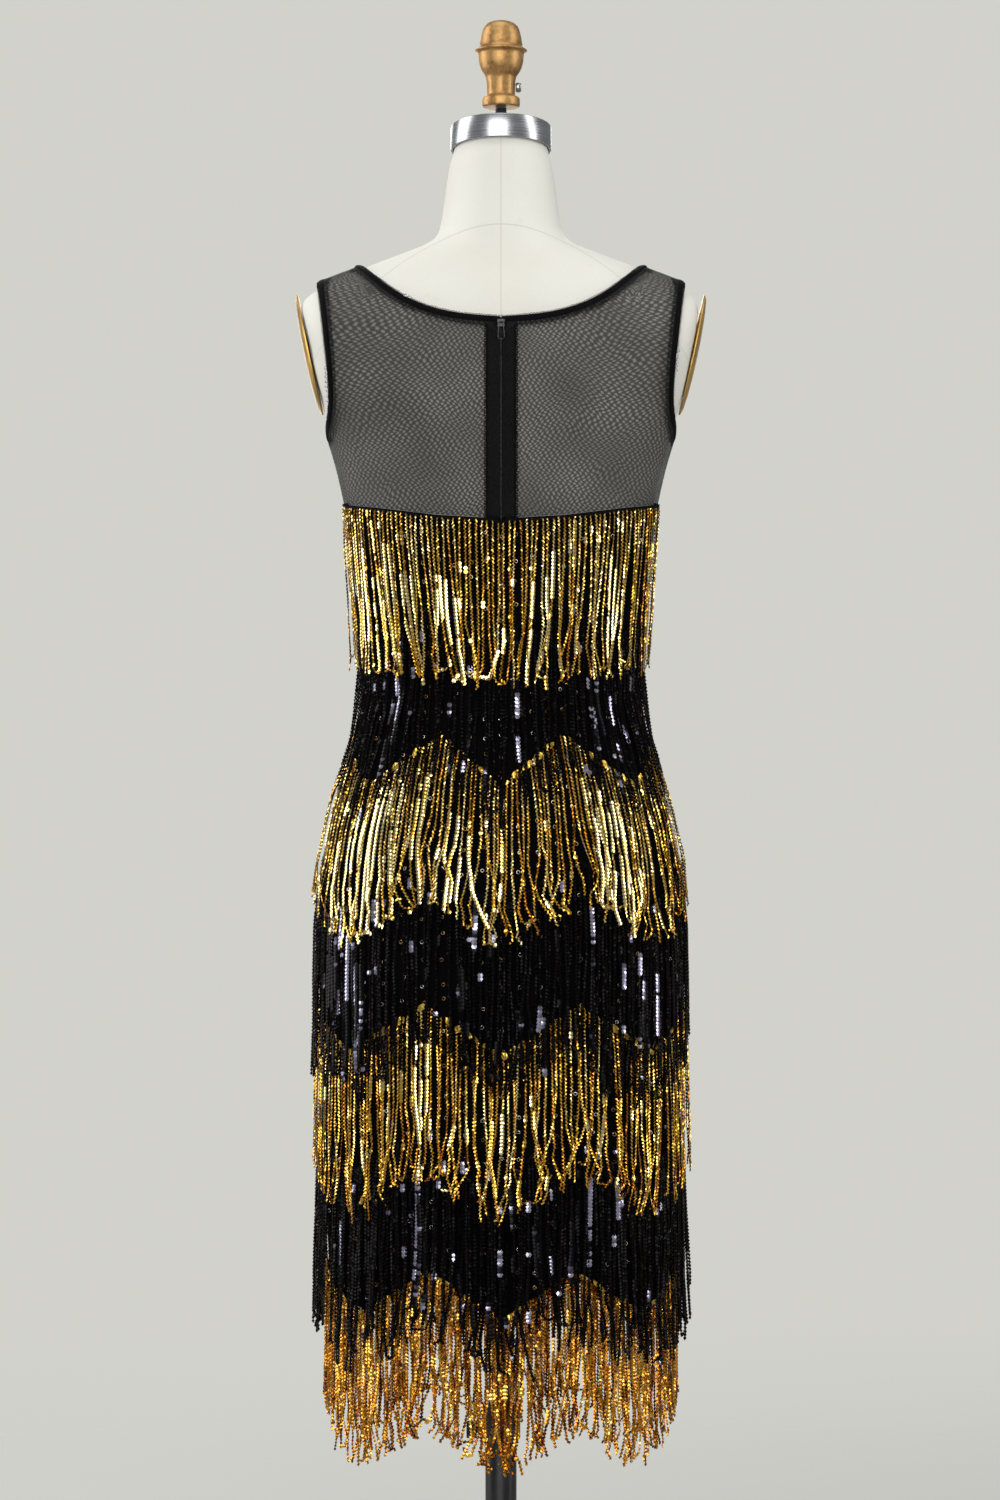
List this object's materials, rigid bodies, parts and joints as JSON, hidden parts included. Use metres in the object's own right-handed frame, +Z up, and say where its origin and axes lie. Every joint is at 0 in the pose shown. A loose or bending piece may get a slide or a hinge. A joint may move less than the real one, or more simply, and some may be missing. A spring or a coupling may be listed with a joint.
{
  "type": "fringed flapper dress on a limbless dress form",
  "caption": "Sleeveless knee-length dress in tiers of gold and black sequin fringe on a limbless cream dress form, on an adjustable pole with a round base.",
  "frame": {"origin": "centre of the round base's underside, on the floor", "axes": "+Z up, the wearer's front towards -Y, the back and its zip towards +Y, the wearer's left towards +X"},
  "size_m": [0.43, 0.43, 1.704],
  "materials": {
    "black_cloth": "matt woven black lining cloth",
    "sheer_mesh": "fine sheer black knitted mesh",
    "black_binding": "black bound edge with small looped picots",
    "black_tape": "black zip tape",
    "black_metal": "black enamelled metal",
    "gold_beads": "metallic gold sequins on thread",
    "black_beads": "glossy black sequins on thread",
    "linen": "cream linen cover",
    "brass": "aged brass",
    "steel": "brushed",
    "cast_gold": "patchy copper-gold casting",
    "black_paint": "satin black paint"
  },
  "bodies": {
    "stand": {"base_plate": "black_paint", "pole_outer": "black_paint", "pole_collar": "black_paint"},
    "clamp": {"clamp_knob": "black_metal"},
    "riser": {"pole_inner": "black_paint"},
    "dressed_form": {"form_torso": "linen", "arm_plate_left": "brass", "arm_plate_right": "brass", "neck_ring": "steel", "neck_cap": "steel", "neck_rod": "black_metal", "neck_knob": "cast_gold", "knob_screw": "steel", "body_back_left": "black_cloth", "body_back_right": "black_cloth", "body_front": "black_cloth", "yoke_back_left": "sheer_mesh", "yoke_back_right": "sheer_mesh", "yoke_front": "sheer_mesh", "neck_binding": "black_binding", "armhole_binding_left": "black_binding", "armhole_binding_right": "black_binding", "zip_tape_left": "black_tape", "zip_tape_right": "black_tape", "zip_slider": "black_metal", "fringe_gold_bust": "gold_beads", "fringe_gold_hip": "gold_beads", "fringe_gold_thigh": "gold_beads", "fringe_gold_hem": "gold_beads", "fringe_black_waist": "black_beads", "fringe_black_hip": "black_beads", "fringe_black_hem": "black_beads"},
    "pull": {"zip_pull": "black_metal"}
  },
  "joints": [
    {"name": "clamp_turn", "type": "hinge", "parent": "stand", "child": "clamp", "pos_m": [0.0183, 0, 0.3905], "axis": [1, 0, 0], "continuous": true},
    {"name": "height", "type": "slide", "parent": "stand", "child": "riser", "axis": [0, 0, 1], "range_m": [-0.12, 0.12]},
    {"name": "form_turn", "type": "hinge", "parent": "riser", "child": "dressed_form", "pos_m": [0, 0, 0.655], "axis": [0, 0, 1], "continuous": true},
    {"name": "pull_swing", "type": "hinge", "parent": "dressed_form", "child": "pull", "pos_m": [0, 0.09935, 1.40927], "axis": [1, 0, 0], "range_deg": [0, 160]}
  ]
}
